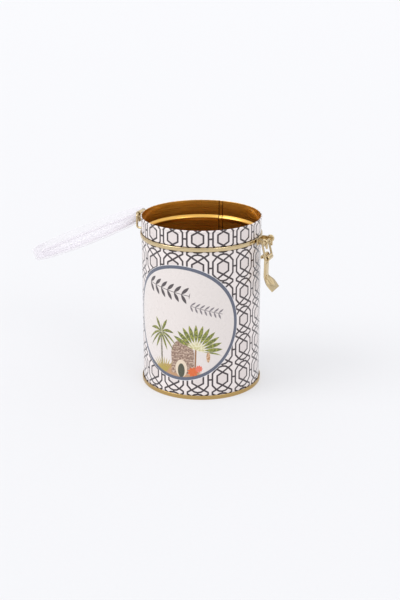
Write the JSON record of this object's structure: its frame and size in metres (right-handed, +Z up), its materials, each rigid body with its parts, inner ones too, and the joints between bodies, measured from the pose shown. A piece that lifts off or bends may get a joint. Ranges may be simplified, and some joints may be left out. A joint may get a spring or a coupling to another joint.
{
  "type": "clip-top candle tin",
  "caption": "Round clip-top candle tin with a hinged clear lid shown open, a wire-and-sheet toggle clasp, a gold neck band and a trellis print round a medallion.",
  "frame": {"origin": "centre of the underside of the recessed base panel, on the tin's axis; the seam foot is 2.6 mm lower", "axes": "+Z up along the tin's axis, +X towards the clasp, -X towards the hinge, -Y the side of the medallion"},
  "size_m": [0.1879, 0.087, 0.1208],
  "materials": {
    "printed_tin": "offset-printed and varnished outside in off-white with dark trellis lines, gold lacquer inside",
    "gold_tin": "gold-lacquered tinplate",
    "gold_fittings": "pale gold plating, polished, on steel wire and sheet",
    "clear_plastic": "clear moulded, glossy",
    "silicone": "clear silicone, satin"
  },
  "bodies": {
    "tin": {"body_shell": "printed_tin", "base_end": "gold_tin", "neck_band": "gold_fittings", "hinge_staple": "gold_fittings", "clasp_bracket": "gold_fittings", "clasp_pin": "gold_fittings"},
    "lid": {"lid": "clear_plastic", "lid_gasket": "silicone", "hinge_knuckle": "gold_fittings", "hinge_rivet_front": "gold_fittings", "hinge_rivet_back": "gold_fittings"},
    "link": {"clasp_link": "gold_fittings"},
    "lever": {"clasp_lever": "gold_fittings"}
  },
  "joints": [
    {"name": "lid_hinge", "type": "hinge", "parent": "tin", "child": "lid", "pos_m": [-0.0461, 0, 0.115], "axis": [0, 1, 0], "range_deg": [0, 202.7]},
    {"name": "link_swing", "type": "hinge", "parent": "tin", "child": "link", "pos_m": [0.0488, 0, 0.1052], "axis": [0, -1, 0], "range_deg": [-12, 178]},
    {"name": "lever_hang", "type": "hinge", "parent": "link", "child": "lever", "pos_m": [0.0499, 0, 0.0933], "axis": [0, -1, 0], "range_deg": [-158.1, 10.7]}
  ],
  "couplings": [
    {"joint": "lever_hang", "follows": "link_swing", "ratio": -0.888}
  ]
}
